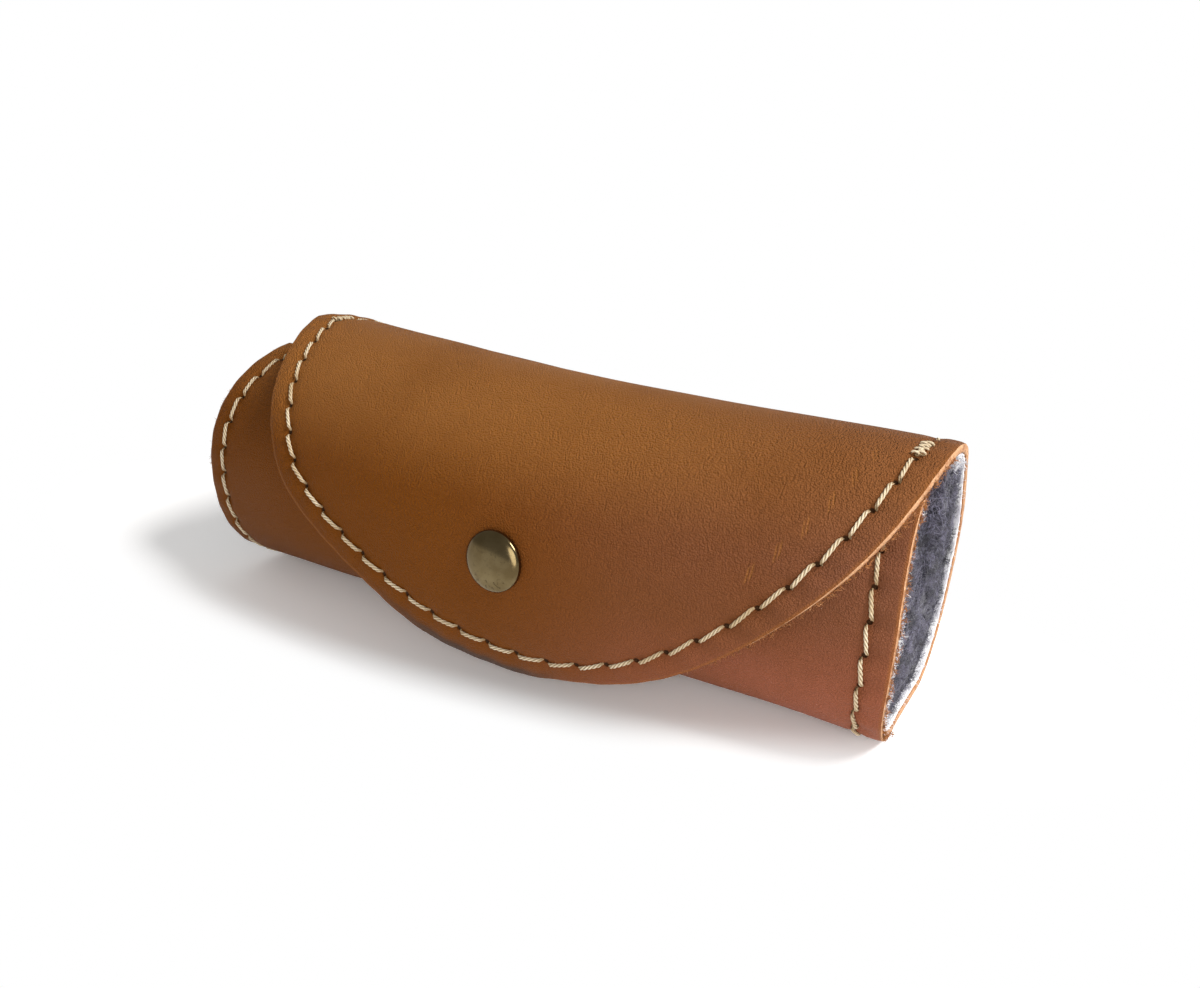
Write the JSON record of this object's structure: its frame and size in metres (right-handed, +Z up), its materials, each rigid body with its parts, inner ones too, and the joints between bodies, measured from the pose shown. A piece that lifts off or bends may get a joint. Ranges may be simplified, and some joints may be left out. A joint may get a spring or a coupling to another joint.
{
  "type": "shoe polishing glove",
  "caption": "Leather shoe polishing mitt lined with sheepskin, rolled up wool side in and closed by a rounded flap with a brass snap.",
  "frame": {"origin": "under the middle of the bounding box, on the surface that the roll rests on", "axes": "+X along the roll towards its open right end, -Y to the front where the snap is, +Z up"},
  "size_m": [0.163, 0.0818, 0.0632],
  "materials": {
    "leather": "tan full-grain leather, satin",
    "pelt": "white sheepskin pelt, matt",
    "wool": "grey wool pile",
    "thread": "cream waxed thread",
    "brass": "antique brass, satin"
  },
  "bodies": {
    "back": {"back_leather": "leather", "back_pelt": "pelt", "back_wool": "wool", "back_stitching_left": "thread", "back_stitching_right": "thread", "bar_tack_left": "thread"},
    "flap": {"flap_leather": "leather", "flap_stitching": "thread", "bar_tack_right": "thread", "snap_cap": "brass", "snap_socket": "brass", "snap_spring": "brass"},
    "front": {"front_leather": "leather", "front_pelt": "pelt", "front_wool": "wool", "front_stitching_left": "thread", "front_stitching_right": "thread", "snap_stud": "brass", "snap_post": "brass"}
  },
  "joints": [
    {"name": "flap_hinge", "type": "hinge", "parent": "back", "child": "flap", "pos_m": [0.0075, -0.00103, 0.06236], "axis": [-0.9993, -0.0352, 0.0146], "range_deg": [0, 150]},
    {"name": "front_hinge", "type": "hinge", "parent": "back", "child": "front", "pos_m": [-0.00099, -0.01391, 0.00428], "axis": [0.9988, 0.0483, 0.0117], "range_deg": [0, 50]}
  ],
  "couplings": [
    {"joint": "front_hinge", "follows": "flap_hinge", "ratio": 0.3333}
  ]
}
